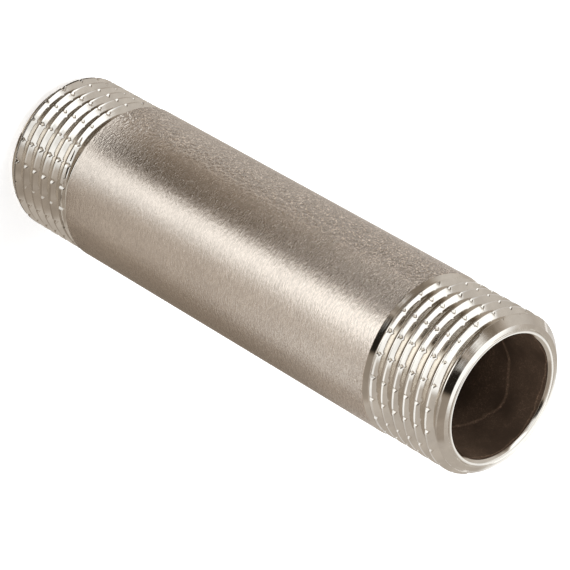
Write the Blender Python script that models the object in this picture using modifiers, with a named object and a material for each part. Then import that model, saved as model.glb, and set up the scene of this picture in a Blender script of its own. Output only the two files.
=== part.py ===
"""Barrel nipple: a straight length of pipe with a right-hand male thread cut on each end.

It stands on one end, with its axis on Z and the middle of the lower end face at the origin.
Sizes are in metres and angles in degrees, unless a name says otherwise.
"""

import math

import bpy
import bmesh
from mathutils import Matrix, Vector

NAME = "barrel_nipple"

# Driving dimensions: the pipe is sized by its thread
OVERALL_LENGTH = 0.0800
END_LENGTH = 0.0125
THREAD_DIAMETER = 0.020955
THREAD_PITCH = 0.001814

# The plain body stands a little proud of the crests, and the bore leaves this wall under the roots
BODY_ABOVE_CREST = 0.00012
WALL_UNDER_THREAD = 0.00131
BORE_CHAMFER = 0.0003

# Form of the thread, and the chamfer that starts it
THREAD_ANGLE = 55.0
CREST_FLAT = 0.00035
ROOT_FLAT = 0.00025
CHAMFER_BELOW_ROOT = 0.00004

# The shoulder is a 45 degree cone down to a narrow relief, into which the thread runs out
RELIEF_DEPTH = 0.00055
RELIEF_FLAT = 0.00015
SHOULDER_CLEARANCE = 0.0001
RUNOUT_ANGLE = 133.0
UPPER_THREAD_START = 51.0
LOWER_THREAD_START = -76.0

# Facets round the pipe. A cutter's rings stand a third of a facet on from the pipe's own edges.
SEGMENTS = 48
RING_OFFSET = 1 / 3
CUTTER_CLEARANCE = 0.0004
SEAM_DISTANCE = 0.00001

NICKEL_COLOUR = (0.60, 0.55, 0.48, 1.0)
NICKEL_ROUGHNESS = 0.28
SHARP_ANGLE = 25.0

# Sizes that follow from those above
crest_radius = THREAD_DIAMETER / 2
flank_slope = math.tan(math.radians(THREAD_ANGLE / 2))
thread_depth = (THREAD_PITCH - CREST_FLAT - ROOT_FLAT) / (2 * flank_slope)
root_radius = crest_radius - thread_depth
end_chamfer = thread_depth + CHAMFER_BELOW_ROOT
bore_radius = root_radius - WALL_UNDER_THREAD
body_radius = crest_radius + BODY_ABOVE_CREST
relief_radius = body_radius - RELIEF_DEPTH
shoulder_height = OVERALL_LENGTH - END_LENGTH


def clear_scene():
    for old in list(bpy.data.objects):
        bpy.data.objects.remove(old, do_unlink=True)


def new_collection(name):
    collection = bpy.data.collections.new(name)
    bpy.context.scene.collection.children.link(collection)
    return collection


def nickel_material():
    """Nickel plate with a satin finish."""
    material = bpy.data.materials.new("satin_nickel")
    material.use_nodes = True
    shader = material.node_tree.nodes["Principled BSDF"]
    shader.inputs["Base Color"].default_value = NICKEL_COLOUR
    shader.inputs["Metallic"].default_value = 1.0
    shader.inputs["Roughness"].default_value = NICKEL_ROUGHNESS
    material.diffuse_color = NICKEL_COLOUR
    return material


def upper_outline():
    """(radius, height) down the outside of the upper end, from the bore's mouth to the shoulder."""
    cone_foot = shoulder_height + RELIEF_DEPTH
    relief_end = cone_foot + RELIEF_FLAT
    thread_start = relief_end + (crest_radius - relief_radius) * flank_slope
    return [
        (bore_radius, OVERALL_LENGTH - BORE_CHAMFER),
        (bore_radius + BORE_CHAMFER, OVERALL_LENGTH),
        (crest_radius - end_chamfer, OVERALL_LENGTH),
        (crest_radius, OVERALL_LENGTH - end_chamfer),
        (crest_radius, thread_start),
        (relief_radius, relief_end),
        (relief_radius, cone_foot),
        (body_radius, shoulder_height),
    ]


def turned_blank(collection):
    """The pipe as it leaves the lathe, before its threads are cut: one closed outline turned round Z."""
    upper = upper_outline()
    lower = [(radius, OVERALL_LENGTH - height) for radius, height in reversed(upper)]
    outline = upper + lower
    mesh = bpy.data.meshes.new(NAME)
    points = [(radius, 0.0, height) for radius, height in outline]
    edges = [(i, (i + 1) % len(points)) for i in range(len(points))]
    mesh.from_pydata(points, edges, [])
    blank = bpy.data.objects.new(NAME, mesh)
    collection.objects.link(blank)
    turn = blank.modifiers.new("Turn", "SCREW")
    turn.axis = "Z"
    turn.angle = math.tau
    turn.steps = SEGMENTS
    turn.render_steps = SEGMENTS
    turn.use_merge_vertices = True
    turn.merge_threshold = SEAM_DISTANCE
    return blank


def half_groove_at(radius):
    """Half the width of the full-depth groove at this radius. Its flanks run on a little past the crest."""
    widest = (THREAD_PITCH - CREST_FLAT / 2) / 2
    return min(ROOT_FLAT / 2 + (radius - root_radius) * flank_slope, widest)


def groove_section():
    """(radius, height) round the groove's outline, from its root out past the metal."""
    flank_end = crest_radius + CREST_FLAT / 4 / flank_slope
    outside = max(body_radius, flank_end) + CUTTER_CLEARANCE
    halves = [(radius, half_groove_at(radius)) for radius in (root_radius, flank_end, outside)]
    lower = [(radius, -half) for radius, half in halves]
    return lower + [(radius, half) for radius, half in reversed(halves)]


def groove_path(thread_start):
    """(turns from +X, height, lift) along the groove's middle, from its run-out to past the end face.

    Up to thread_start the groove climbs out of the metal, and from there on it has its full depth.
    """
    start_turn = thread_start / 360
    runout_turns = RUNOUT_ANGLE / 360
    start_height = shoulder_height + SHOULDER_CLEARANCE + half_groove_at(body_radius)
    last_height = OVERALL_LENGTH + half_groove_at(crest_radius) + CUTTER_CLEARANCE
    last_turn = start_turn + (last_height - start_height) / THREAD_PITCH
    full_lift = body_radius - root_radius + CUTTER_CLEARANCE
    first_step = math.floor((start_turn - runout_turns) * SEGMENTS)
    path = []
    for step in range(first_step, math.ceil(last_turn * SEGMENTS) + 1):
        turns = (step + RING_OFFSET) / SEGMENTS
        beyond = turns - start_turn
        lift = full_lift * max(0.0, -beyond) / runout_turns
        path.append((turns, start_height + beyond * THREAD_PITCH, lift))
    return path


def groove_cutter(name, thread_start, collection):
    """The solid that the threading tool sweeps: a V section carried up its helix."""
    section = groove_section()
    bm = bmesh.new()
    rings = []
    for turns, height, lift in groove_path(thread_start):
        turned = Matrix.Rotation(turns * math.tau, 3, "Z")
        points = [turned @ Vector((radius + lift, 0.0, height + z)) for radius, z in section]
        rings.append([bm.verts.new(point) for point in points])
    for ring, following in zip(rings, rings[1:]):
        for i in range(len(ring)):
            j = (i + 1) % len(ring)
            bm.faces.new((ring[i], ring[j], following[j], following[i]))
    bm.faces.new(rings[0])
    bm.faces.new(rings[-1])
    bmesh.ops.recalc_face_normals(bm, faces=bm.faces)
    mesh = bpy.data.meshes.new(name)
    bm.to_mesh(mesh)
    bm.free()
    cutter = bpy.data.objects.new(name, mesh)
    cutter.display_type = "WIRE"
    cutter.hide_render = True
    collection.objects.link(cutter)
    return cutter


def cut_thread(blank, cutter):
    cut = blank.modifiers.new(cutter.name, "BOOLEAN")
    cut.operation = "DIFFERENCE"
    cut.solver = "EXACT"
    cut.object = cutter


def finish_surface(nipple):
    """Makes the cut shape the object's own mesh, smooth apart from its edges."""
    graph = bpy.context.evaluated_depsgraph_get()
    mesh = bpy.data.meshes.new_from_object(nipple.evaluated_get(graph))
    nipple.modifiers.clear()
    nipple.data = mesh
    mesh.name = NAME
    mesh.shade_smooth()
    mesh.set_sharp_from_angle(angle=math.radians(SHARP_ANGLE))
    mesh.materials.clear()
    mesh.materials.append(nickel_material())


def build():
    clear_scene()
    parts = new_collection(NAME)
    cutters = new_collection("cutters")
    nipple = turned_blank(parts)
    upper = groove_cutter("upper_thread_groove", UPPER_THREAD_START, cutters)
    lower = groove_cutter("lower_thread_groove", LOWER_THREAD_START, cutters)
    lower.location = (0.0, 0.0, OVERALL_LENGTH)
    lower.rotation_euler = (0.0, math.pi, 0.0)
    cut_thread(nipple, upper)
    cut_thread(nipple, lower)
    finish_surface(nipple)


build()
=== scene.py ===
"""Barrel nipple: the nickel-plated finish of a threaded pipe nipple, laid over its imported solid.

The nipple stands on one end with its axis on Z. Sizes are in metres and angles in radians, unless a
comment says otherwise.
"""

import math

import bpy
import bmesh
from bpy.props import FloatProperty, FloatVectorProperty, IntProperty, PointerProperty
from mathutils import Matrix, Vector


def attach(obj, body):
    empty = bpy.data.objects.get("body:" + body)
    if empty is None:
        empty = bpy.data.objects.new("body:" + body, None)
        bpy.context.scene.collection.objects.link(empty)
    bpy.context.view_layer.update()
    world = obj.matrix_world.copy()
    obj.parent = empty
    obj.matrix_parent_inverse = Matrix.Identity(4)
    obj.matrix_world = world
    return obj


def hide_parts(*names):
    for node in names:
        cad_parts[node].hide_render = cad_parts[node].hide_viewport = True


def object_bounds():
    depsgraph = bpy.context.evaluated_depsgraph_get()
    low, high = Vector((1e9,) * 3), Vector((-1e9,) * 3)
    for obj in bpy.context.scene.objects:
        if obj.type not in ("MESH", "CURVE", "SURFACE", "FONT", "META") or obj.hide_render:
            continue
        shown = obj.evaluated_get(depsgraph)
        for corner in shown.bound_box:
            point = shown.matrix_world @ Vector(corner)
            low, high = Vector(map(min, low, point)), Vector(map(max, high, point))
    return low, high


bl_info = {
    "name": "Barrel Nipple",
    "version": (1, 0, 0),
    "blender": (4, 5, 0),
    "location": "View3D > Sidebar > Nipple",
    "description": "Makes the threaded ends, the plain barrel and the studio of a pipe nipple",
    "category": "Add Mesh",
}

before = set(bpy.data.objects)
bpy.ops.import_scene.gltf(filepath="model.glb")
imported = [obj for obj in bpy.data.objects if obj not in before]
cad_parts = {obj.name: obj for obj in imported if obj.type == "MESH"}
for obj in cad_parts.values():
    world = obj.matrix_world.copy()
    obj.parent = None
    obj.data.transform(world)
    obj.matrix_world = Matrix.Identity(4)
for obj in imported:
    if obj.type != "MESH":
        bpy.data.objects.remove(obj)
CAD_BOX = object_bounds()
CAD_LENGTH = CAD_BOX[1].z - CAD_BOX[0].z
CAD_RADIUS = (CAD_BOX[1].x - CAD_BOX[0].x) / 2

NODE = "barrel_nipple"
BODY = "root"


class NippleSizes(bpy.types.PropertyGroup):
    """Sizes of the pipe and of its two threads."""

    overall_length: FloatProperty(
        name="Overall Length", description="From end face to end face",
        default=CAD_LENGTH, unit="LENGTH", precision=5,
    )
    body_radius: FloatProperty(
        name="Body Radius", description="Outside of the plain barrel",
        default=CAD_RADIUS, unit="LENGTH", precision=5,
    )
    bore_radius: FloatProperty(
        name="Bore Radius", description="Inside of the pipe",
        default=0.0080015, unit="LENGTH", precision=5,
    )
    end_length: FloatProperty(
        name="End Length", description="From the end face to the barrel's shoulder",
        default=0.0125, unit="LENGTH", precision=5,
    )
    crest_radius: FloatProperty(
        name="Crest Radius", description="Outside of the thread",
        default=0.0104775, unit="LENGTH", precision=5,
    )
    pitch: FloatProperty(
        name="Pitch", description="Distance from one crest to the next",
        default=0.001814, unit="LENGTH", precision=6,
    )
    thread_depth: FloatProperty(
        name="Thread Depth", description="From crest to root",
        default=0.001166, unit="LENGTH", precision=6,
    )
    root_flat: FloatProperty(
        name="Root Flat", description="Width of the flat at the foot of the groove",
        default=0.00025, unit="LENGTH", precision=6,
    )
    thread_angle: FloatProperty(
        name="Thread Angle", description="Between the two flanks",
        default=math.radians(55), subtype="ANGLE",
    )
    plated_angle: FloatProperty(
        name="Plated Angle", description="Between the two flanks once plated",
        default=math.radians(66), subtype="ANGLE",
    )
    plated_depth: FloatProperty(
        name="Plated Depth", description="From crest to root once plated",
        default=0.00096, unit="LENGTH", precision=6,
    )
    upper_start: FloatProperty(
        name="Upper Start", description="Angle from +X where the groove has its full depth",
        default=math.radians(51), subtype="ANGLE",
    )
    lower_start: FloatProperty(
        name="Lower Start", description="The same angle on the lower end, before it is turned over",
        default=math.radians(-76), subtype="ANGLE",
    )
    runout_angle: FloatProperty(
        name="Run-out Angle", description="Turn over which the groove fades out",
        default=math.radians(133), subtype="ANGLE",
    )
    relief_depth: FloatProperty(
        name="Relief Depth", description="Depth of the turned recess behind the thread",
        default=0.00055, unit="LENGTH", precision=6,
    )
    face_radius: FloatProperty(
        name="Face Radius", description="Outside of the end face once plated",
        default=0.0093, unit="LENGTH", precision=6,
    )
    edge_round: FloatProperty(
        name="Edge Rounding", description="Radius of the broken edges",
        default=0.00011, unit="LENGTH", precision=6,
    )
    crest_round: FloatProperty(
        name="Crest Rounding", description="How far the crests are softened on their dull side",
        default=0.0001, unit="LENGTH", precision=6,
    )
    crest_edge: FloatProperty(
        name="Crest Edge", description="How far the crests are softened on their crisp side",
        default=0.000002, unit="LENGTH", precision=6,
    )
    root_round: FloatProperty(
        name="Root Rounding", description="How far the plating fills the roots",
        default=0.00012, unit="LENGTH", precision=6,
    )


class NickSizes(bpy.types.PropertyGroup):
    """The rows of small nicks pressed across the crests, which hold the sealing thread."""

    per_turn: IntProperty(
        name="Nicks per Turn", description="Rows of nicks round the pipe", default=22, min=3
    )
    depth: FloatProperty(
        name="Nick Depth", description="Depth of a nick below the crest",
        default=0.00024, unit="LENGTH", precision=6,
    )
    upper_angle: FloatProperty(
        name="Upper Row", description="Angle from +X of one row on the upper end",
        default=math.radians(-91.7), subtype="ANGLE",
    )
    lower_angle: FloatProperty(
        name="Lower Row", description="Angle from +X of one row on the lower end",
        default=math.radians(-84.0), subtype="ANGLE",
    )
    seed: IntProperty(name="Seed", description="Seed of the nicks' uneven depth", default=4)


class NickelFinish(bpy.types.PropertyGroup):
    """Colours and gloss of the plating."""

    satin_colour: FloatVectorProperty(
        name="Satin Nickel", description="Colour of the brushed barrel",
        default=(0.68, 0.6, 0.52), subtype="COLOR", size=3, min=0, max=1,
    )
    bright_colour: FloatVectorProperty(
        name="Bright Nickel", description="Colour of the threads and end faces",
        default=(0.73, 0.685, 0.62), subtype="COLOR", size=3, min=0, max=1,
    )
    # The bore's colour is its dull tarnish, painted darker as painted shade inside the pipe
    bore_tarnish_and_shade_colour: FloatVectorProperty(
        name="Bore", description="Colour of the dull wall inside",
        default=(0.17, 0.115, 0.08), subtype="COLOR", size=3, min=0, max=1,
    )
    satin_roughness: FloatProperty(
        name="Satin Roughness", description="Gloss of the barrel",
        default=0.24, min=0, max=1, subtype="FACTOR",
    )
    bright_roughness: FloatProperty(
        name="Bright Roughness", description="Gloss of the threads",
        default=0.08, min=0, max=1, subtype="FACTOR",
    )


class StudioSettings(bpy.types.PropertyGroup):
    """The floor under the nipple, and the camera."""

    floor_colour: FloatVectorProperty(
        name="Floor", description="Colour of the floor",
        default=(0.9, 0.9, 0.9), subtype="COLOR", size=3, min=0, max=1,
    )
    camera_place: FloatVectorProperty(
        name="Camera", description="Where the camera stands",
        default=(0.0, -0.308599, 0.292361), subtype="TRANSLATION", size=3,
    )
    camera_aim: FloatVectorProperty(
        name="Aim", description="Point in the middle of the picture",
        default=(0.00123678, 0.0, 0.0434049), subtype="TRANSLATION", size=3,
    )
    camera_roll: FloatProperty(
        name="Roll", description="Turn of the camera about its line of sight",
        default=math.radians(120.0749), subtype="ANGLE",
    )
    lens: FloatProperty(name="Lens", description="Focal length in millimetres", default=202.7425)


class Maths:
    """Writes arithmetic into a node tree. Values are sockets or plain numbers."""

    def __init__(self, tree):
        self.tree = tree

    def node(self, kind, **settings):
        made = self.tree.nodes.new(kind)
        for name, value in settings.items():
            setattr(made, name, value)
        return made

    def feed(self, socket, value):
        if isinstance(value, bpy.types.NodeSocket):
            self.tree.links.new(value, socket)
        else:
            socket.default_value = value

    def op(self, operation, *values):
        made = self.node("ShaderNodeMath", operation=operation)
        for socket, value in zip(made.inputs, values):
            self.feed(socket, value)
        return made.outputs[0]

    def add(self, a, b):
        return self.op("ADD", a, b)

    def sub(self, a, b):
        return self.op("SUBTRACT", a, b)

    def mul(self, a, b):
        return self.op("MULTIPLY", a, b)

    def div(self, a, b):
        return self.op("DIVIDE", a, b)

    def smaller(self, a, b):
        return self.op("MINIMUM", a, b)

    def larger(self, a, b):
        return self.op("MAXIMUM", a, b)

    def soft_smaller(self, a, b, blend):
        return self.op("SMOOTH_MIN", a, b, blend)

    def soft_larger(self, a, b, blend):
        return self.op("SMOOTH_MAX", a, b, blend)

    def vector(self, x, y, z):
        made = self.node("ShaderNodeCombineXYZ")
        for socket, value in zip(made.inputs, (x, y, z)):
            self.feed(socket, value)
        return made.outputs[0]

    def split(self, vector):
        made = self.node("ShaderNodeSeparateXYZ")
        self.feed(made.inputs[0], vector)
        return made.outputs

    def vector_op(self, operation, a, b, output):
        made = self.node("ShaderNodeVectorMath", operation=operation)
        self.feed(made.inputs[0], a)
        self.feed(made.inputs[1], b)
        return made.outputs[output]

    def map_range(self, value, low, high, to_low, to_high, smooth=False):
        """Low to high becomes to_low to to_high, and the value is held beyond them."""
        made = self.node("ShaderNodeMapRange", interpolation_type="SMOOTHSTEP" if smooth else "LINEAR")
        labels = ("Value", "From Min", "From Max", "To Min", "To Max")
        for label, given in zip(labels, (value, low, high, to_low, to_high)):
            self.feed(made.inputs[label], given)
        return made.outputs[0]


def new_socket(tree, name, kind, default=None, in_out="INPUT", subtype=None):
    socket = tree.interface.new_socket(name=name, in_out=in_out, socket_type=kind)
    if subtype:
        socket.subtype = subtype
    if default is not None:
        socket.default_value = default
    return socket


def set_input(modifier, name, value):
    for item in modifier.node_group.interface.items_tree:
        if item.item_type == "SOCKET" and item.in_out == "INPUT" and item.name == name:
            modifier[item.identifier] = value
            return
    raise RuntimeError(f"the node tree has no input named {name}")


ARC_STEPS = 5


def rounded_outline(corners):
    """A line of (point, material) through corners of ((radius, height), rounding, material).

    Each point's material is that of the strip that follows it. Every corner that has a rounding, apart
    from the first and the last, becomes an arc.
    """
    line = []
    current = corners[0][2]
    for i, (point, rounding, material) in enumerate(corners):
        here = Vector(point)
        if rounding == 0 or i in (0, len(corners) - 1):
            line.append((here, material))
        else:
            before = (Vector(corners[i - 1][0]) - here).normalized()
            after = (Vector(corners[i + 1][0]) - here).normalized()
            half = before.angle(after) / 2
            reach = rounding / math.tan(half)
            centre = here + (before + after).normalized() * (rounding / math.sin(half))
            start = here + before * reach - centre
            sweep = start.angle_signed(here + after * reach - centre)
            for step in range(ARC_STEPS + 1):
                turned = start.copy()
                turned.rotate(Matrix.Rotation(-sweep * step / ARC_STEPS, 2))
                line.append((centre + turned, material if step == ARC_STEPS else current))
        current = material
    return line


def turn_outline(line, angles, closed):
    """The line of (point, material) turned round Z through these angles."""
    bm = bmesh.new()
    rings = [
        [bm.verts.new((point.x * math.cos(a), point.x * math.sin(a), point.y)) for a in angles]
        for point, _ in line
    ]
    followers = rings[1:] + rings[:1] if closed else rings[1:]
    for ring, following, (_, material) in zip(rings, followers, line):
        for i in range(len(angles)):
            j = (i + 1) % len(angles)
            made = bm.faces.new((ring[i], ring[j], following[j], following[i]))
            made.material_index = material
    return bm


def as_object(name, bm, materials):
    """A new object of the scene, made from a mesh that is done being built."""
    mesh = bpy.data.meshes.new(name)
    bm.to_mesh(mesh)
    bm.free()
    for material in materials:
        mesh.materials.append(material)
    made = bpy.data.objects.new(name, mesh)
    bpy.context.scene.collection.objects.link(made)
    return made


def as_plain_mesh(piece):
    """Replaces the piece's mesh by what its modifiers make, and removes them."""
    graph = bpy.context.evaluated_depsgraph_get()
    mesh = bpy.data.meshes.new_from_object(piece.evaluated_get(graph))
    piece.modifiers.clear()
    piece.data = mesh
    mesh.name = piece.name


def noise(m, position, scale, detail, roughness):
    made = m.node("ShaderNodeTexNoise", noise_dimensions="3D")
    labels = ("Vector", "Scale", "Detail", "Roughness")
    for label, given in zip(labels, (position, scale, detail, roughness)):
        m.feed(made.inputs[label], given)
    return made.outputs["Fac"]


def brushed_grain(m, given):
    """Fine brushing round the pipe: height and tone of short scratches."""
    along = m.div(1.0, given["Scratch Length"])
    stretch = m.vector(along, along, given["Scratches per Metre"])
    scaled = m.vector_op("MULTIPLY", given["Position"], stretch, "Vector")
    height = noise(m, scaled, scale=1.0, detail=3.0, roughness=0.6)
    return height, m.map_range(height, 0.3, 0.7, 0.0, 1.0)


def orange_peel(m, given):
    """Relief left under the plating: height of soft short lumps, and the lines where they meet."""
    height = noise(m, given["Position"], given["Lumps per Metre"], detail=1.5, roughness=0.45)
    from_middle = m.op("ABSOLUTE", m.sub(height, 0.52))
    return height, m.map_range(from_middle, 0.0, 0.035, 1.0, 0.0)


def plating_tone(m, given):
    """Slow change of the plating's tone, from one place to the next."""
    patches = noise(m, given["Position"], given["Patches per Metre"], detail=4.0, roughness=0.5)
    return (m.map_range(patches, 0.35, 0.65, 0.0, 1.0),)


# What fills each shared shader group, its inputs besides Position with their defaults, and its outputs
SHADER_GROUPS = {
    "brushed_grain": (
        brushed_grain, {"Scratches per Metre": 9000.0, "Scratch Length": 0.002}, ("Height", "Tone")
    ),
    "orange_peel": (orange_peel, {"Lumps per Metre": 1800.0}, ("Height", "Ridges")),
    "plating_tone": (plating_tone, {"Patches per Metre": 160.0}, ("Tone",)),
}


def shader_group(name):
    """The shared node group of this name, made when it is first asked for."""
    if name in bpy.data.node_groups:
        return bpy.data.node_groups[name]
    fill, inputs, outputs = SHADER_GROUPS[name]
    tree = bpy.data.node_groups.new(name, "ShaderNodeTree")
    new_socket(tree, "Position", "NodeSocketVector")
    for label, default in inputs.items():
        new_socket(tree, label, "NodeSocketFloat", default)
    for label in outputs:
        new_socket(tree, label, "NodeSocketFloat", in_out="OUTPUT")
    m = Maths(tree)
    source = m.node("NodeGroupInput")
    result = m.node("NodeGroupOutput")
    for label, value in zip(outputs, fill(m, source.outputs)):
        m.feed(result.inputs[label], value)
    return tree


def place_group(m, name, position, **values):
    """Adds the shared group and returns its outputs. An input's name is given with _ for each space."""
    made = m.node("ShaderNodeGroup")
    made.node_tree = shader_group(name)
    m.feed(made.inputs["Position"], position)
    for label, value in values.items():
        m.feed(made.inputs[label.replace("_", " ")], value)
    return made.outputs


def shaded(colour, factor):
    return (*(channel * factor for channel in colour), 1.0)


def blend_colours(m, factor, first, second):
    mix = m.node("ShaderNodeMix", data_type="RGBA")
    m.feed(mix.inputs["Factor"], factor)
    m.feed(mix.inputs["A"], first)
    m.feed(mix.inputs["B"], second)
    return mix.outputs["Result"]


def two_tones(m, factor, colour, dark, light):
    return blend_colours(m, factor, shaded(colour, dark), shaded(colour, light))


def bump(m, height, distance, strength, normal=None):
    made = m.node("ShaderNodeBump")
    made.inputs["Distance"].default_value = distance
    m.feed(made.inputs["Strength"], strength)
    m.feed(made.inputs["Height"], height)
    if normal is not None:
        m.feed(made.inputs["Normal"], normal)
    return made.outputs[0]


def start_material(name, colour):
    """A new metal, as (material, its node arithmetic, its shader's inputs, the place on the piece)."""
    material = bpy.data.materials.new(name)
    material.use_nodes = True
    material.diffuse_color = (*colour, 1.0)
    m = Maths(material.node_tree)
    shader = material.node_tree.nodes["Principled BSDF"].inputs
    shader["Metallic"].default_value = 1.0
    place = m.node("ShaderNodeTexCoord").outputs["Object"]
    return material, m, shader, place


# The side of the barrel on which the etching has left a rougher relief. It fades in between these distances
# towards that side, and a trace of it is left elsewhere. That side is also painted darker as painted shade,
# with painted glints on the lumps' ridges.
ETCHED_SIDE = (-0.88, -0.48, 0.0)
ETCHED_FROM = 0.87 * CAD_RADIUS
ETCHED_FULLY = 0.98 * CAD_RADIUS
ETCHED_ELSEWHERE = 0.012
# Share by which the painted shade darkens the etched side
PAINTED_SHADE_ON_ETCHED_SIDE = 0.6
BRUSHING_SHARE = 0.8


def satin_material(finish):
    """Nickel plate over a brushed barrel, with painted shade and painted glints on its etched side."""
    colour = tuple(finish.satin_colour)
    material, m, shader, place = start_material("satin_nickel", colour)
    grain = place_group(m, "brushed_grain", place, Scratches_per_Metre=4800.0, Scratch_Length=0.0006)
    peel = place_group(m, "orange_peel", place, Lumps_per_Metre=1900.0)
    patches = m.mul(place_group(m, "plating_tone", place)["Tone"], 1 - BRUSHING_SHARE)
    brushed = two_tones(m, m.add(patches, m.mul(grain["Tone"], BRUSHING_SHARE)), colour, dark=0.8, light=1.15)
    low, high = finish.satin_roughness - 0.03, finish.satin_roughness + 0.04
    m.feed(shader["Roughness"], m.map_range(grain["Tone"], 0.0, 1.0, low, high))
    towards = m.vector_op("DOT_PRODUCT", place, ETCHED_SIDE, "Value")
    # Where the relief lies; the same mask places the painted shade and the painted glints
    etched_relief_and_painted_light = m.map_range(towards, ETCHED_FROM, ETCHED_FULLY, ETCHED_ELSEWHERE, 1.0, smooth=True)
    # Painted glints: the lumps' ridges on the etched side are painted lighter than the metal
    painted_glints = m.mul(m.map_range(peel["Ridges"], 0.25, 0.75, 0.0, 1.0), etched_relief_and_painted_light)
    # Painted shade: the etched side is painted darker, so that the painted glints stand out
    painted_shade_side = blend_colours(m, m.mul(etched_relief_and_painted_light, PAINTED_SHADE_ON_ETCHED_SIDE), brushed, shaded(colour, 0.7))
    m.feed(shader["Base Color"], blend_colours(m, painted_glints, painted_shade_side, shaded(colour, 1.45)))
    relief = bump(m, peel["Height"], distance=0.00032, strength=etched_relief_and_painted_light)
    m.feed(shader["Normal"], bump(m, grain["Height"], distance=0.00006, strength=0.9, normal=relief))
    return material


def bright_material(finish):
    """Nickel plate over cut threads and turned faces."""
    colour = tuple(finish.bright_colour)
    material, m, shader, place = start_material("bright_nickel", colour)
    grain = place_group(m, "brushed_grain", place, Scratches_per_Metre=14000.0, Scratch_Length=0.004)
    tone = place_group(m, "plating_tone", place, Patches_per_Metre=420.0)["Tone"]
    m.feed(shader["Base Color"], two_tones(m, tone, colour, dark=0.92, light=1.06))
    low, high = finish.bright_roughness - 0.03, finish.bright_roughness + 0.05
    m.feed(shader["Roughness"], m.map_range(tone, 0.0, 1.0, low, high))
    m.feed(shader["Normal"], bump(m, grain["Height"], distance=0.000006, strength=0.4))
    return material


# (height at the axis, rise per metre of Y, half width) of the painted reflections, light lines painted on the
# bore near the mouth, and how far they wander from a clean line
BORE_PAINTED_REFLECTIONS = ((0.0664, 1.025, 0.00032), (0.0792, 0.0, 0.00016))
BORE_WANDER = 0.0006
FLECK_SHARE = 0.35


def bore_material(finish):
    """Thin, dull plating and tarnish inside the bore, painted darker as painted shade inside the pipe, with
    painted reflections near the mouth.
    """
    colour = tuple(finish.bore_tarnish_and_shade_colour)
    material, m, shader, place = start_material("bore_skin_and_painted_light", colour)
    shader["Metallic"].default_value = 0.5
    grain = place_group(m, "brushed_grain", place, Scratches_per_Metre=5000.0, Scratch_Length=0.006)
    tone = place_group(m, "plating_tone", place, Patches_per_Metre=260.0)["Tone"]
    ridges = place_group(m, "orange_peel", place, Lumps_per_Metre=2600.0)["Ridges"]
    # The dull skin in patches of tone, its colour darkened as painted shade
    skin = two_tones(m, tone, colour, dark=0.8, light=1.2)
    _, y, z = m.split(place)
    wander = m.mul(m.sub(tone, 0.5), BORE_WANDER)
    painted_reflections = 0.0
    for height, lean, width in BORE_PAINTED_REFLECTIONS:
        along = m.sub(z, m.add(height, m.mul(y, lean)))
        away = m.op("ABSOLUTE", m.add(along, wander))
        painted_reflections = m.larger(painted_reflections, m.map_range(away, 0.0, width, 1.0, 0.0))
    # The painted reflections, broken up along the ridges' pattern
    dotted_reflections = m.mul(painted_reflections, m.map_range(ridges, 0.0, 1.0, 0.25, 1.0))
    flecks = m.mul(ridges, m.mul(tone, FLECK_SHARE))
    # Painted reflections and random flecks lighten the skin
    m.feed(shader["Base Color"], blend_colours(m, m.larger(dotted_reflections, flecks), skin, shaded(colour, 4.6)))
    m.feed(shader["Roughness"], m.map_range(grain["Tone"], 0.0, 1.0, 0.36, 0.5))
    m.feed(shader["Normal"], bump(m, grain["Height"], distance=0.00001, strength=0.4))
    return material


# The pieces' material slots, in this order
MATERIALS = {"satin_nickel": satin_material, "bright_nickel": bright_material, "bore_skin_and_painted_light": bore_material}
SATIN, BRIGHT, DULL = range(3)


def nickel_materials():
    finish = bpy.context.scene.nickel_finish
    return [bpy.data.materials.get(name) or make(finish) for name, make in MATERIALS.items()]


# Mesh of a threaded end: its lines along the pipe, crowded at each nick, and its rows round it, crowded at
# crest and root. The threaded surface is held to the turned part over END_HOLD, and then joined to it.
STATIONS_PER_NICK = 20
NICK_CROWDING = 0.65
ROWS_PER_PITCH = 24
ROW_CROWDING = 0.358
END_HOLD = 0.00003
JOIN_DISTANCE = 0.0000008

# Mesh of the barrel, which takes over this far below each shoulder
BARREL_SIDES = 256
END_JOINT = 0.0005

# Mouth of the bore with its raised lip, and how far the end face falls away outside it
BORE_CHAMFER = 0.0003
LIP_WIDTH = 0.00065
LIP_GROOVE = 0.0002
GROOVE_EDGE = 0.00002
FACE_DROP = 0.00011

# Form of the thread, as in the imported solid. The widest groove is half of one, as a share of the pitch.
CHAMFER_BELOW_ROOT = 0.00004
RELIEF_FLAT = 0.00015
SHOULDER_CLEARANCE = 0.0001
CUTTER_CLEARANCE = 0.0004
WIDEST_GROOVE = 0.452

# Form of the nicks: rise of their walls, rounding against that of the crests, least and greatest share of
# the depth, and how steeply they end at the shoulder's cone
NICK_SLOPE = 0.92
NICK_ROUNDING = 0.3
NICK_DEPTHS = (0.75, 1.2)
NICK_END_SLOPE = 4.0
NUMBERS_PER_TURN = 97.0

NO_LENGTH = 1e-8
SHARP_ANGLE = math.radians(45)


def station_angles(nicks, nick_angle):
    """Angles of the mesh's lines along the pipe, crowded at each nick."""
    first = nick_angle - math.pi / nicks.per_turn
    angles = []
    for i in range(nicks.per_turn * STATIONS_PER_NICK):
        part = i / STATIONS_PER_NICK
        warped = part + NICK_CROWDING * math.sin(math.tau * part) / math.tau
        angles.append(first + math.tau * warped / nicks.per_turn)
    return angles


def end_heights(sizes):
    """(lowest, highest) of the threaded surface, which starts past the rounding of a 45 degree edge."""
    fillet = sizes.edge_round * math.tan(math.radians(22.5))
    upright = fillet * math.sqrt(0.5)
    low = sizes.overall_length - sizes.end_length + upright
    high = sizes.overall_length - FACE_DROP - upright
    return low, high


def chamfer_lean(sizes):
    """How far the chamfer runs out for each metre that it runs down."""
    return (sizes.crest_radius - sizes.face_radius) / (sizes.thread_depth + CHAMFER_BELOW_ROOT)


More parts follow.
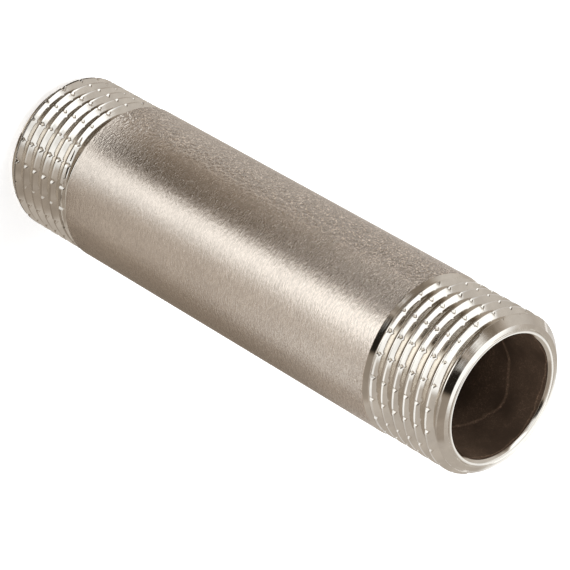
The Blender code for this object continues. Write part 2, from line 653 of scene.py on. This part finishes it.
def turned_end(sizes, angles):
    """What is turned rather than threaded: the end face, the bore and the shoulder's edge."""
    length = sizes.overall_length
    shoulder = length - sizes.end_length
    joint = shoulder - END_JOINT
    lean = chamfer_lean(sizes)
    low, high = end_heights(sizes)
    bore = sizes.bore_radius
    lip = bore + LIP_WIDTH
    body = sizes.body_radius
    edge = sizes.edge_round
    corners = [
        ((sizes.face_radius + (length - high) * lean, high), 0, BRIGHT),
        ((sizes.face_radius + FACE_DROP * lean, length - FACE_DROP), edge / 2, BRIGHT),
        ((lip + LIP_GROOVE, length - GROOVE_EDGE), GROOVE_EDGE, BRIGHT),
        ((lip + LIP_GROOVE / 2, length - LIP_GROOVE / 2), GROOVE_EDGE, BRIGHT),
        ((lip, length), edge, BRIGHT),
        ((bore + BORE_CHAMFER, length), edge, BRIGHT),
        ((bore, length - BORE_CHAMFER), edge, DULL),
        ((bore, joint), 0, DULL),
        ((body, joint), 0, SATIN),
        ((body, shoulder), edge, BRIGHT),
        ((body - (low - shoulder), low), 0, BRIGHT),
    ]
    return turn_outline(rounded_outline(corners), angles, closed=False)


TREE_LENGTHS = (
    "Shoulder Height", "Lowest", "Highest", "Face Height", "Body Radius", "Crest Radius", "Pitch",
    "Thread Depth", "Root Flat", "Relief Depth", "Relief Flat", "Face Radius", "Full Lift", "Groove Start",
    "Crest Rounding", "Lower Crest Edge", "Upper Crest Edge", "Root Rounding", "Nick Depth", "Row Start",
)
TREE_NUMBERS = ("Flank Slope", "Chamfer Lean", "Start Turn", "Run-out Turns", "First Angle")
TREE_COUNTS = ("Nicks", "Stations per Nick", "Rows", "Rows per Pitch", "Seed")


def thread_tree():
    """Geometry Nodes: the threaded surface of one end, added to the turned part that comes in.

    A grid is bent round the pipe with its rows sheared to follow the helix. Each point's radius is the
    smallest of the turned blank, the two grooves nearest to it and the nick nearest to it.
    """
    tree = bpy.data.node_groups.new("cut_thread", "GeometryNodeTree")
    new_socket(tree, "Geometry", "NodeSocketGeometry")
    for name in TREE_LENGTHS:
        new_socket(tree, name, "NodeSocketFloat", 0.0, subtype="DISTANCE")
    for name in TREE_NUMBERS:
        new_socket(tree, name, "NodeSocketFloat", 0.0)
    for name in TREE_COUNTS:
        new_socket(tree, name, "NodeSocketInt", 1)
    new_socket(tree, "Material", "NodeSocketMaterial")
    new_socket(tree, "Geometry", "NodeSocketGeometry", in_out="OUTPUT")
    m = Maths(tree)
    size = m.node("NodeGroupInput").outputs

    # The flat grid: u runs round the pipe, row counts up it
    grid = m.node("GeometryNodeMeshGrid")
    stations = m.mul(size["Nicks"], size["Stations per Nick"])
    m.feed(grid.inputs["Vertices X"], m.add(stations, 1))
    m.feed(grid.inputs["Vertices Y"], m.add(size["Rows"], 1))
    grid.inputs["Size X"].default_value = 1.0
    grid.inputs["Size Y"].default_value = 1.0
    x, y, _ = m.split(m.node("GeometryNodeInputPosition").outputs[0])
    u = m.add(x, 0.5)
    station = m.op("ROUND", m.mul(u, stations))
    row = m.op("ROUND", m.mul(m.add(y, 0.5), size["Rows"]))

    # Angle, with the stations crowded at each nick
    part = m.div(station, size["Stations per Nick"])
    warped = m.add(part, m.mul(m.op("SINE", m.mul(part, math.tau)), NICK_CROWDING / math.tau))
    turn_part = m.div(warped, size["Nicks"])
    angle = m.add(size["First Angle"], m.mul(turn_part, math.tau))
    turns = m.div(angle, math.tau)

    # Height, with the rows following the helix, crowded at crest and root, and held between the two ends
    row_part = m.div(row, size["Rows per Pitch"])
    wave = m.op("SINE", m.mul(row_part, 2 * math.tau))
    crowded = m.sub(row_part, m.mul(wave, ROW_CROWDING / (2 * math.tau)))
    free = m.add(size["Row Start"], m.mul(m.add(crowded, turn_part), size["Pitch"]))
    height = m.larger(m.smaller(free, size["Highest"]), size["Lowest"])

    # The turned blank: shoulder cone, relief, start of the crest, chamfer
    above = m.sub(height, size["Shoulder Height"])
    cone = m.sub(size["Body Radius"], above)
    relief = m.sub(size["Body Radius"], size["Relief Depth"])
    past_relief = m.sub(above, m.add(size["Relief Depth"], size["Relief Flat"]))
    rise = m.add(relief, m.div(past_relief, size["Flank Slope"]))
    below_face = m.sub(size["Face Height"], height)
    chamfer = m.add(size["Face Radius"], m.mul(below_face, size["Chamfer Lean"]))
    behind = m.soft_larger(relief, rise, size["Crest Rounding"])
    crest = m.soft_smaller(size["Crest Radius"], chamfer, size["Crest Rounding"])
    ridge = m.soft_smaller(behind, crest, size["Crest Rounding"])
    radius = m.soft_larger(cone, ridge, size["Crest Rounding"])

    # The two grooves on either side of the point
    root = m.sub(size["Crest Radius"], size["Thread Depth"])
    from_start = m.sub(turns, size["Start Turn"])
    along = m.sub(m.div(m.sub(height, size["Groove Start"]), size["Pitch"]), from_start)
    lower_turn = m.op("FLOOR", along)
    for step, rounding in ((0.0, "Lower Crest Edge"), (1.0, "Upper Crest Edge")):
        which = m.add(lower_turn, step)
        distance = m.mul(m.op("ABSOLUTE", m.sub(along, which)), size["Pitch"])
        before = m.larger(0.0, m.sub(0.0, m.add(from_start, which)))
        lift = m.mul(size["Full Lift"], m.div(before, size["Run-out Turns"]))
        flank = m.div(m.sub(distance, m.div(size["Root Flat"], 2)), size["Flank Slope"])
        climb = m.soft_larger(0.0, flank, size["Root Rounding"])
        groove = m.add(m.add(root, lift), climb)
        radius = m.soft_smaller(radius, groove, size[rounding])

    # Nicks across the crests, each a little deeper or shallower than the next
    nearest = m.op("FLOOR", part)
    nick_turn = m.div(m.add(nearest, 0.5), size["Nicks"])
    across = m.op("ABSOLUTE", m.mul(m.mul(m.sub(turn_part, nick_turn), math.tau), size["Crest Radius"]))
    uneven = m.node("FunctionNodeRandomValue", data_type="FLOAT")
    uneven.inputs[2].default_value, uneven.inputs[3].default_value = NICK_DEPTHS
    number = m.add(m.mul(lower_turn, NUMBERS_PER_TURN), m.op("MODULO", nearest, size["Nicks"]))
    m.feed(uneven.inputs["ID"], m.op("ROUND", number))
    m.feed(uneven.inputs["Seed"], size["Seed"])
    depth = m.mul(size["Nick Depth"], uneven.outputs[1])
    nick = m.add(m.sub(size["Crest Radius"], depth), m.mul(across, NICK_SLOPE))
    clear_of_cone = m.mul(m.larger(0.0, m.sub(size["Relief Depth"], above)), NICK_END_SLOPE)
    softness = m.mul(size["Crest Rounding"], NICK_ROUNDING)
    radius = m.soft_smaller(radius, m.add(nick, clear_of_cone), softness)

    # At its two ends the surface meets the turned part exactly
    for end, turned in (("Lowest", cone), ("Highest", chamfer)):
        gap = m.op("ABSOLUTE", m.sub(height, size[end]))
        hold = m.map_range(gap, 0.0, END_HOLD, 1.0, 0.0, smooth=True)
        radius = m.add(radius, m.mul(m.sub(turned, radius), hold))

    # Bend it round the pipe and join it to the turned part
    point = m.vector(m.mul(radius, m.op("COSINE", angle)), m.mul(radius, m.op("SINE", angle)), height)
    bent = m.node("GeometryNodeSetPosition")
    m.feed(bent.inputs["Geometry"], grid.outputs["Mesh"])
    m.feed(bent.inputs["Position"], point)
    threaded = m.node("GeometryNodeCaptureAttribute", domain="FACE")
    threaded.capture_items.new("BOOLEAN", "Threaded")
    threaded.inputs["Threaded"].default_value = True
    m.feed(threaded.inputs["Geometry"], bent.outputs[0])
    both = m.node("GeometryNodeJoinGeometry")
    m.feed(both.inputs[0], threaded.outputs["Geometry"])
    m.feed(both.inputs[0], size["Geometry"])
    merged = m.node("GeometryNodeMergeByDistance")
    m.feed(merged.inputs["Geometry"], both.outputs[0])
    merged.inputs["Distance"].default_value = JOIN_DISTANCE
    real = m.node("GeometryNodeRealizeInstances")
    m.feed(real.inputs[0], merged.outputs[0])
    skin = m.node("GeometryNodeSetMaterial")
    m.feed(skin.inputs["Geometry"], real.outputs[0])
    m.feed(skin.inputs["Selection"], threaded.outputs["Threaded"])
    m.feed(skin.inputs["Material"], size["Material"])
    result = m.node("NodeGroupOutput")
    m.feed(result.inputs[0], skin.outputs[0])
    return tree


def thread_inputs(sizes, nicks, first_angle, turned_over):
    """What the thread tree is given for one end. The lower end is made upright, and turned over later."""
    length = sizes.overall_length
    shoulder = length - sizes.end_length
    slope = math.tan(sizes.thread_angle / 2)
    root = sizes.crest_radius - sizes.thread_depth
    half_at_crest = sizes.root_flat / 2 + sizes.thread_depth * slope
    plated_slope = math.tan(sizes.plated_angle / 2)
    low, high = end_heights(sizes)
    start_turn = (sizes.lower_start if turned_over else sizes.upper_start) / math.tau
    half_at_body = sizes.root_flat / 2 + (sizes.body_radius - root) * slope
    groove_start = shoulder + SHOULDER_CLEARANCE + min(half_at_body, sizes.pitch * WIDEST_GROOVE)
    at_first = groove_start + (first_angle / math.tau - start_turn) * sizes.pitch
    below = math.ceil((at_first - low) / sizes.pitch) + 1
    row_start = at_first - below * sizes.pitch
    return {
        "Shoulder Height": shoulder,
        "Lowest": low,
        "Highest": high,
        "Face Height": length,
        "Body Radius": sizes.body_radius,
        "Crest Radius": sizes.crest_radius,
        "Pitch": sizes.pitch,
        "Thread Depth": sizes.plated_depth,
        "Root Flat": 2 * (half_at_crest - sizes.plated_depth * plated_slope),
        "Relief Depth": sizes.relief_depth,
        "Relief Flat": RELIEF_FLAT,
        "Face Radius": sizes.face_radius,
        "Full Lift": sizes.body_radius - root + CUTTER_CLEARANCE,
        "Groove Start": groove_start,
        "Crest Rounding": sizes.crest_round,
        "Lower Crest Edge": sizes.crest_edge if turned_over else sizes.crest_round,
        "Upper Crest Edge": sizes.crest_round if turned_over else sizes.crest_edge,
        "Root Rounding": sizes.root_round,
        "Nick Depth": nicks.depth,
        "Row Start": row_start,
        "Flank Slope": plated_slope,
        "Chamfer Lean": chamfer_lean(sizes),
        "Start Turn": start_turn,
        "Run-out Turns": sizes.runout_angle / math.tau,
        "First Angle": first_angle,
        "Nicks": nicks.per_turn,
        "Stations per Nick": STATIONS_PER_NICK,
        "Rows": math.ceil((high - row_start) / sizes.pitch) * ROWS_PER_PITCH,
        "Rows per Pitch": ROWS_PER_PITCH,
        "Seed": nicks.seed,
    }


def threaded_end(name, tree, nick_angle, turned_over):
    scene = bpy.context.scene
    sizes, nicks = scene.nipple_sizes, scene.nick_sizes
    materials = nickel_materials()
    angles = station_angles(nicks, nick_angle)
    piece = as_object(name, turned_end(sizes, angles), materials)
    cut = piece.modifiers.new("cut_thread", "NODES")
    cut.node_group = tree
    for label, value in thread_inputs(sizes, nicks, angles[0], turned_over).items():
        set_input(cut, label, value)
    set_input(cut, "Material", materials[BRIGHT])
    as_plain_mesh(piece)
    face_outwards(piece.data)
    if turned_over:
        over = Matrix.Translation((0, 0, sizes.overall_length)) @ Matrix.Rotation(math.pi, 4, "Y")
        piece.data.transform(over)
    return piece


def face_outwards(mesh):
    """Removes edges of no length, points every face out and smooths all but the sharp joints."""
    bm = bmesh.new()
    bm.from_mesh(mesh)
    bmesh.ops.dissolve_degenerate(bm, edges=bm.edges, dist=NO_LENGTH)
    bmesh.ops.recalc_face_normals(bm, faces=bm.faces)
    if any(len(edge.link_faces) != 2 for edge in bm.edges):
        raise RuntimeError(f"the surface of {mesh.name} isn't closed")
    bm.to_mesh(mesh)
    bm.free()
    mesh.shade_smooth()
    mesh.set_sharp_from_angle(angle=SHARP_ANGLE)


def finish_piece(piece, stands_for=False):
    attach(piece, BODY)
    if stands_for:
        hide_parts(NODE)


class NIPPLE_OT_barrel(bpy.types.Operator):
    """Make the plain barrel between the two shoulders, with its bore"""

    bl_idname = "nipple.barrel"
    bl_label = "Make Plain Barrel"

    def execute(self, context):
        sizes = context.scene.nipple_sizes
        top = sizes.overall_length - sizes.end_length - END_JOINT
        foot = sizes.end_length + END_JOINT
        line = [
            (Vector((sizes.body_radius, foot)), SATIN),
            (Vector((sizes.body_radius, top)), DULL),
            (Vector((sizes.bore_radius, top)), DULL),
            (Vector((sizes.bore_radius, foot)), DULL),
        ]
        angles = [math.tau * i / BARREL_SIDES for i in range(BARREL_SIDES)]
        piece = as_object("plain_barrel", turn_outline(line, angles, closed=True), nickel_materials())
        face_outwards(piece.data)
        finish_piece(piece, stands_for=True)
        return {"FINISHED"}


class NIPPLE_OT_threaded_ends(bpy.types.Operator):
    """Make the two threaded ends, each with its shoulder, thread, nicks, chamfer and end face"""

    bl_idname = "nipple.threaded_ends"
    bl_label = "Make Threaded Ends"

    def execute(self, context):
        nicks = context.scene.nick_sizes
        tree = thread_tree()
        finish_piece(threaded_end("upper_threaded_end", tree, nicks.upper_angle, turned_over=False))
        finish_piece(threaded_end("lower_threaded_end", tree, nicks.lower_angle, turned_over=True))
        return {"FINISHED"}


class NIPPLE_OT_studio(bpy.types.Operator):
    """Make the floor, cards, lamps, world and camera"""

    bl_idname = "nipple.studio"
    bl_label = "Make Studio"

    def execute(self, context):
        studio = context.scene.studio_settings
        make_world(context.scene)
        make_floor(studio)
        make_foot_card()
        make_tent()
        make_lamps()
        make_camera(context.scene, studio)
        return {"FINISHED"}


WORLD_LIGHT = 0.55
FLOOR_RADIUS = 1.6
FLOOR_SIDES = 96
FLOOR_GLOW = 0.45


def seen_directly(m):
    """1 for what the camera sees, straight or in metal or glass."""
    path = m.node("ShaderNodeLightPath")
    straight = m.larger(path.outputs["Is Camera Ray"], path.outputs["Is Glossy Ray"])
    return m.larger(straight, path.outputs["Is Transmission Ray"])


def make_world(scene):
    """White where it is seen, and a softer light on everything else."""
    world = bpy.data.worlds.new("studio_air")
    scene.world = world
    world.use_nodes = True
    m = Maths(world.node_tree)
    background = world.node_tree.nodes["Background"]
    background.inputs["Color"].default_value = (1.0, 1.0, 1.0, 1.0)
    m.feed(background.inputs["Strength"], m.map_range(seen_directly(m), 0.0, 1.0, WORLD_LIGHT, 1.0))


def floor_material(colour):
    """White paper, with a glow that only the camera sees and that lights nothing."""
    material = bpy.data.materials.new("floor_paper")
    material.use_nodes = True
    m = Maths(material.node_tree)
    shader = material.node_tree.nodes["Principled BSDF"].inputs
    place = m.node("ShaderNodeTexCoord").outputs["Object"]
    tone = place_group(m, "plating_tone", place, Patches_per_Metre=12.0)["Tone"]
    m.feed(shader["Base Color"], two_tones(m, tone, colour, dark=0.99, light=1.0))
    shader["Roughness"].default_value = 0.9
    shader["Emission Color"].default_value = (1.0, 1.0, 1.0, 1.0)
    m.feed(shader["Emission Strength"], m.mul(seen_directly(m), FLOOR_GLOW))
    return material


def make_floor(studio):
    bm = bmesh.new()
    bmesh.ops.create_circle(bm, cap_ends=True, radius=FLOOR_RADIUS, segments=FLOOR_SIDES)
    floor = as_object("floor", bm, [floor_material(tuple(studio.floor_colour))])


CARD_LAYER = "card_tone"
WARM_TINT = (1.0, 0.83, 0.66)
COOL_TINT = (0.97, 1.0, 1.03)
WARM_GREY = 0.2
COOL_GREY = 1.0


def eased(share):
    """0 to 1 with a soft start and a soft end."""
    return share * share * (3 - 2 * share)


def held(share):
    return max(0.0, min(1.0, share))


def card_material(name):
    """A card that gives off the colour in its own attribute, whatever light falls on it."""
    material = bpy.data.materials.new(name)
    material.use_nodes = True
    tree = material.node_tree
    tree.nodes.remove(tree.nodes["Principled BSDF"])
    m = Maths(tree)
    tint = m.node("ShaderNodeAttribute", attribute_name=CARD_LAYER)
    glow = m.node("ShaderNodeEmission")
    m.feed(glow.inputs["Color"], tint.outputs["Color"])
    m.feed(tree.nodes["Material Output"].inputs["Surface"], glow.outputs[0])
    return material


def card_colour(grey):
    """Dark greys are warm and light ones a little cool."""
    share = held((grey - WARM_GREY) / (COOL_GREY - WARM_GREY))
    return (*(grey * (warm + (cool - warm) * share) for warm, cool in zip(WARM_TINT, COOL_TINT)), 1.0)


def place_card(name, bm, material_name):
    """Sets up a card or a tent that nothing but the metal's reflections shows."""
    card = as_object(name, bm, [card_material(material_name)])
    for ray in ("camera", "diffuse", "shadow", "transmission", "volume_scatter"):
        setattr(card, f"visible_{ray}", False)


# The card that lies round the nipple's foot. Each table holds (angle round the nipple from the front, in
# degrees; grey). These are for the barrel, and for the first and the last of it beside its shoulders.
FOR_BODY = (
    (-90, 0.85), (-80, 0.26), (-66, 0.27), (-52, 0.33), (-40, 0.55), (-22, 0.58), (-14, 0.73), (-9, 1.15),
    (-4, 1.45), (2, 1.48), (6, 0.95), (10, 0.26), (16, 0.23), (30, 0.31), (48, 0.63), (64, 0.72), (78, 0.58),
    (90, 0.8),
)
FOR_FAR_BODY = (
    (-90, 0.85), (-80, 0.26), (-66, 0.32), (-52, 0.38), (-40, 0.6), (-22, 0.6), (-14, 0.76), (-9, 1.1),
    (-4, 1.4), (2, 1.48), (6, 0.92), (10, 0.12), (16, 0.08), (30, 0.26), (48, 0.66), (64, 0.76), (78, 0.58),
    (90, 0.7),
)
FOR_SHOULDER = (
    (-90, 0.7), (-80, 0.28), (-66, 0.35), (-52, 0.5), (-40, 1.15), (-22, 0.68), (-14, 0.68), (-9, 1.25),
    (-4, 1.7), (2, 1.75), (6, 0.95), (10, 0.06), (16, 0.0), (30, 0.03), (48, 0.3), (64, 0.75), (78, 0.7),
    (90, 0.6),
)
# For the crests of the upper and of the lower thread, the lower relief, its last edge and the valleys
FOR_CRESTS = (
    (-90, 0.9), (-75, 0.75), (-60, 0.7), (-52, 0.8), (-44, 1.35), (-25, 1.35), (4, 1.4), (8, 1.7), (46, 1.7),
    (53, 1.0), (60, 0.72), (75, 0.7), (90, 0.9),
)
FOR_FAR_CRESTS = (
    (-90, 0.45), (-60, 0.34), (-30, 0.34), (-22, 0.7), (-14, 1.0), (-9, 1.3), (5, 1.35), (8, 1.7), (42, 1.7),
    (48, 0.9), (60, 0.5), (90, 0.7),
)
FOR_RELIEF = ((-90, 0.05), (90, 0.05))
FOR_LAST_EDGE = ((-90, 0.1), (90, 0.1))
FOR_VALLEYS = (
    (-90, 0.8), (-60, 0.42), (-30, 0.42), (-16, 0.8), (-10, 2.1), (2, 2.2), (6, 1.0), (9, 0.1), (30, 0.1),
    (50, 0.25), (70, 0.7), (90, 0.8),
)
# (distance from the foot, table) of the card's rings. Each height of the nipple mirrors a ring of its own.
FOOT_CARD = (
    (0.0, FOR_LAST_EDGE), (0.0014, FOR_LAST_EDGE), (0.0018, FOR_FAR_CRESTS), (0.0122, FOR_FAR_CRESTS),
    (0.0124, FOR_RELIEF), (0.0131, FOR_RELIEF), (0.0134, FOR_FAR_BODY), (0.02, FOR_FAR_BODY),
    (0.045, FOR_BODY), (0.066, FOR_BODY), (0.078, FOR_SHOULDER), (0.089, FOR_SHOULDER),
    (0.0905, FOR_CRESTS), (0.111, FOR_CRESTS), (0.118, FOR_VALLEYS), (0.2, FOR_VALLEYS), (0.45, FOR_VALLEYS),
)
CARD_SPOKES = 240
CARD_HEIGHT = 0.0002


def card_grey(table, angle):
    for (a, first), (b, second) in zip(table, table[1:]):
        if a <= angle <= b:
            return first + (second - first) * eased((angle - a) / (b - a))
    return table[-1][1]


def make_foot_card():
    """The card round the foot. Its spokes lie in the directions in which the barrel mirrors them."""
    bm = bmesh.new()
    layer = bm.loops.layers.float_color.new(CARD_LAYER)
    spokes = []
    for i in range(CARD_SPOKES + 1):
        seen = math.radians(-90 + 180 * i / CARD_SPOKES)
        spoke = []
        for distance, table in FOOT_CARD:
            x = -math.sin(seen) * CAD_RADIUS - math.sin(2 * seen) * distance
            y = -math.cos(seen) * CAD_RADIUS - math.cos(2 * seen) * distance
            colour = card_colour(card_grey(table, math.degrees(seen)))
            spoke.append((bm.verts.new((x, y, CARD_HEIGHT)), colour))
        spokes.append(spoke)
    for a, b in zip(spokes, spokes[1:]):
        for i in range(len(a) - 1):
            corners = (a[i], a[i + 1], b[i + 1], b[i])
            face = bm.faces.new([vert for vert, _ in corners])
            for loop, (_, colour) in zip(face.loops, corners):
                loop[layer] = colour
    place_card("foot_card", bm, "foot_card")


# The tent's patches of (direction, degrees within which it is full, degrees beyond which it has faded out,
# grey), laid over one another
TENT_RADIUS = 0.6
TENT_SIDES = 160
TENT_GREY = 0.6
TENT_PATCHES = (
    ((0.15, -0.98, 0.15), 18, 30, 0.35),
    ((-0.75, -0.6, 0.12), 22, 36, 0.16),
    ((-0.84, 0.0, 0.54), 7, 11, 0.25),
    ((-0.73, -0.22, 0.65), 8, 11, 0.25),
    ((-0.6, -0.38, 0.7), 8, 11, 0.25),
    ((-0.45, -0.5, 0.74), 8, 11, 0.25),
    ((-0.68, 0.42, 0.61), 14, 30, 0.7),
    ((0.5, 0.1, 0.86), 14, 28, 0.64),
    ((0.6, -0.32, 0.73), 11, 19, 0.38),
    ((0.75, 0.0, 0.66), 9, 15, 0.42),
    ((0.08, -0.63, 0.77), 16, 24, 0.02),
    ((0.02, -0.2, 0.98), 12, 16, 1.35),
    ((-0.38, -0.17, 0.91), 14, 17.5, 1.7),
    ((-0.12, -0.4, 0.91), 7, 10, 1.15),
    ((-0.3, 0.16, 0.94), 21, 25, 1.7),
    ((-0.08, 0.5, 0.86), 9, 13, 1.5),
    ((0.0, 0.807, 0.591), 4, 8, 1.4),
    ((0.1, 0.95, 0.28), 11, 17, 1.5),
)


def tent_grey(sight):
    """Grey of the tent in the direction of sight."""
    tone = TENT_GREY
    for direction, inner, outer, grey in TENT_PATCHES:
        away = math.degrees(sight.angle(Vector(direction)))
        tone += (grey - tone) * eased(held((outer - away) / (outer - inner)))
    return tone


def make_tent():
    """The tent over the nipple, which its threads and its end face mirror."""
    bm = bmesh.new()
    bmesh.ops.create_uvsphere(bm, u_segments=TENT_SIDES, v_segments=TENT_SIDES // 2, radius=TENT_RADIUS)
    below = [face for face in bm.faces if face.calc_center_median().z < 0]
    bmesh.ops.delete(bm, geom=below, context="FACES")
    layer = bm.loops.layers.float_color.new(CARD_LAYER)
    for face in bm.faces:
        for loop in face.loops:
            loop[layer] = card_colour(tent_grey(loop.vert.co))
    place_card("tent", bm, "tent_cloth")


# (name, place, aim, side of the square, watts) of the lamps, which no reflection shows
LAMPS = (
    ("overhead_softbox", (-0.28, 0.05, 0.55), (0, 0, 0.05), 0.35, 2.2),
    ("side_softbox", (0.45, -0.25, 0.4), (0, 0, 0.04), 0.4, 1.0),
)


def make_lamps():
    for name, place, aim, side, watts in LAMPS:
        lamp = bpy.data.lights.new(name, "AREA")
        lamp.shape = "SQUARE"
        lamp.size = side
        lamp.energy = watts
        made = bpy.data.objects.new(name, lamp)
        made.location = place
        made.rotation_mode = "QUATERNION"
        made.rotation_quaternion = (Vector(aim) - Vector(place)).to_track_quat("-Z", "Y")
        made.visible_glossy = False
        bpy.context.scene.collection.objects.link(made)


def make_camera(scene, studio):
    data = bpy.data.cameras.new("camera")
    data.sensor_width = 36.0
    data.lens = studio.lens
    data.clip_start = 0.01
    data.clip_end = 20.0
    camera = bpy.data.objects.new("camera", data)
    scene.collection.objects.link(camera)
    camera.location = studio.camera_place
    sight = Vector(studio.camera_aim) - Vector(studio.camera_place)
    level = sight.to_track_quat("-Z", "Y").to_matrix()
    camera.rotation_mode = "QUATERNION"
    camera.rotation_quaternion = (level @ Matrix.Rotation(studio.camera_roll, 3, "Z")).to_quaternion()
    scene.camera = camera
    scene.view_settings.view_transform = "Standard"


class NIPPLE_PT_panel(bpy.types.Panel):
    """Lists the nipple's operators and settings"""

    bl_idname = "NIPPLE_PT_panel"
    bl_label = "Barrel Nipple"
    bl_space_type = "VIEW_3D"
    bl_region_type = "UI"
    bl_category = "Nipple"

    def draw(self, context):
        layout = self.layout
        for operator in OPERATORS:
            layout.operator(operator.bl_idname)
        for group in GROUPS:
            settings = getattr(context.scene, group)
            box = layout.box()
            box.label(text=group.replace("_", " ").title())
            for name in settings.__annotations__:
                box.prop(settings, name)


GROUPS = {
    "nipple_sizes": NippleSizes,
    "nick_sizes": NickSizes,
    "nickel_finish": NickelFinish,
    "studio_settings": StudioSettings,
}
OPERATORS = (NIPPLE_OT_barrel, NIPPLE_OT_threaded_ends, NIPPLE_OT_studio)
CLASSES = (*GROUPS.values(), *OPERATORS, NIPPLE_PT_panel)


def register():
    for made in CLASSES:
        bpy.utils.register_class(made)
    for name, group in GROUPS.items():
        setattr(bpy.types.Scene, name, PointerProperty(type=group))


def unregister():
    for name in GROUPS:
        delattr(bpy.types.Scene, name)
    for made in reversed(CLASSES):
        bpy.utils.unregister_class(made)


def main():
    register()
    bpy.ops.nipple.barrel()
    bpy.ops.nipple.threaded_ends()
    bpy.ops.nipple.studio()


if __name__ == "__main__":
    main()
